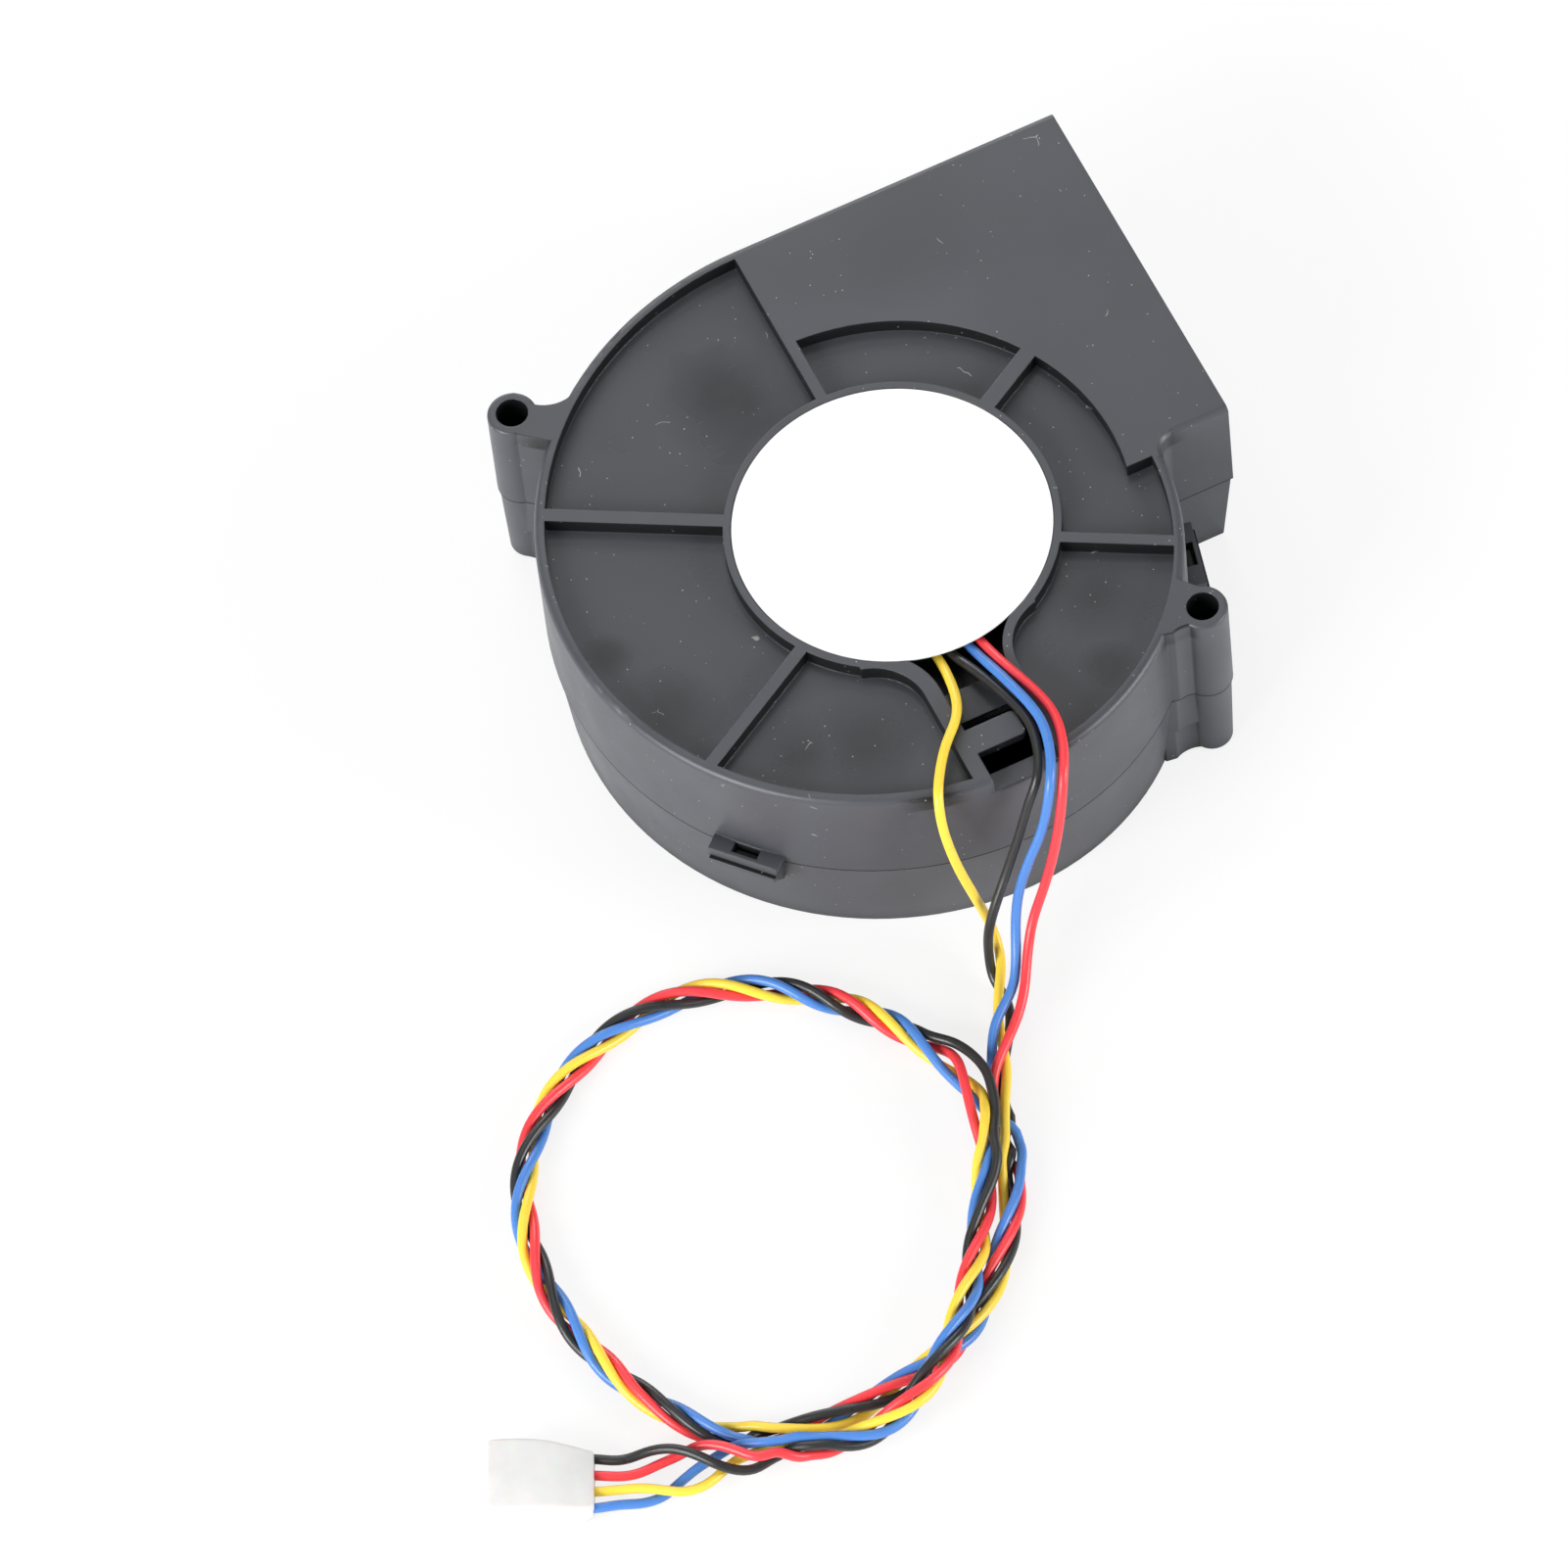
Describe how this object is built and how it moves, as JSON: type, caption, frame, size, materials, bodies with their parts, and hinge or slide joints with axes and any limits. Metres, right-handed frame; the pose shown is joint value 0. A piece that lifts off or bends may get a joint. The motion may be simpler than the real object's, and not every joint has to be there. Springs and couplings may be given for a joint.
{
  "type": "dc blower fan",
  "caption": "Square-outlet centrifugal blower: clipped two-half scroll casing with lug holes, forward-curved impeller, motor with ball bearings, twisted leads with plug.",
  "frame": {"origin": "where the rotor axis meets the plane of the inlet face, which the fan stands on", "axes": "+Z along the rotor axis from the inlet face to the motor face with the label, +X the way the air leaves the outlet, +Y towards the long straight wall of the outlet duct"},
  "size_m": [0.1594, 0.1675, 0.036],
  "materials": {
    "casing_plastic": "satin",
    "label_film": "smooth",
    "impeller_plastic": "satin",
    "brass": "satin",
    "plated_steel": "satin",
    "ferrite": "matte",
    "bearing_steel": "polished",
    "spring_steel": "satin",
    "lamination_steel": "satin",
    "insulator_plastic": "matte",
    "enamelled_wire": "glossy",
    "board_laminate": "satin",
    "chip_epoxy": "matte",
    "capacitor_ceramic": "matte",
    "solder": "satin",
    "yellow_insulation": "glossy",
    "black_insulation": "glossy",
    "blue_insulation": "glossy",
    "red_insulation": "glossy",
    "twisted_insulation": "glossy",
    "plug_plastic": "satin",
    "contact_metal": "satin"
  },
  "bodies": {
    "casing": {"rear_shell": "casing_plastic", "front_shell": "casing_plastic", "label_disc": "label_film", "bearing_tube": "brass", "upper_outer_race": "bearing_steel", "lower_outer_race": "bearing_steel", "stator_core": "lamination_steel", "upper_insulator": "insulator_plastic", "lower_insulator": "insulator_plastic", "windings": "enamelled_wire", "circuit_board": "board_laminate", "driver_chip": "chip_epoxy", "hall_sensor": "chip_epoxy", "board_capacitor": "capacitor_ceramic", "chip_resistors": "chip_epoxy", "solder_joints": "solder", "lead_yellow": "yellow_insulation", "lead_black": "black_insulation", "lead_blue": "blue_insulation", "lead_red": "red_insulation", "twisted_cord": "twisted_insulation", "plug_housing": "plug_plastic", "plug_contacts": "contact_metal"},
    "rotor": {"impeller": "impeller_plastic", "rotor_bushing": "brass", "rotor_yoke": "plated_steel", "magnet_ring": "ferrite", "shaft": "bearing_steel", "retaining_clip": "spring_steel", "preload_spring": "spring_steel", "upper_inner_race": "bearing_steel", "lower_inner_race": "bearing_steel"},
    "upper_balls": {"upper_ball_set": "bearing_steel"},
    "lower_balls": {"lower_ball_set": "bearing_steel"}
  },
  "joints": [
    {"name": "rotor_spin", "type": "hinge", "parent": "casing", "child": "rotor", "pos_m": [0, 0, 0.0165], "axis": [0, 0, -1], "continuous": true},
    {"name": "upper_balls_orbit", "type": "hinge", "parent": "casing", "child": "upper_balls", "pos_m": [0, 0, 0.0275], "axis": [0, 0, -1], "continuous": true},
    {"name": "lower_balls_orbit", "type": "hinge", "parent": "casing", "child": "lower_balls", "pos_m": [0, 0, 0.0143], "axis": [0, 0, -1], "continuous": true}
  ],
  "couplings": [
    {"joint": "upper_balls_orbit", "follows": "rotor_spin", "ratio": 0.3636},
    {"joint": "lower_balls_orbit", "follows": "rotor_spin", "ratio": 0.3636}
  ]
}
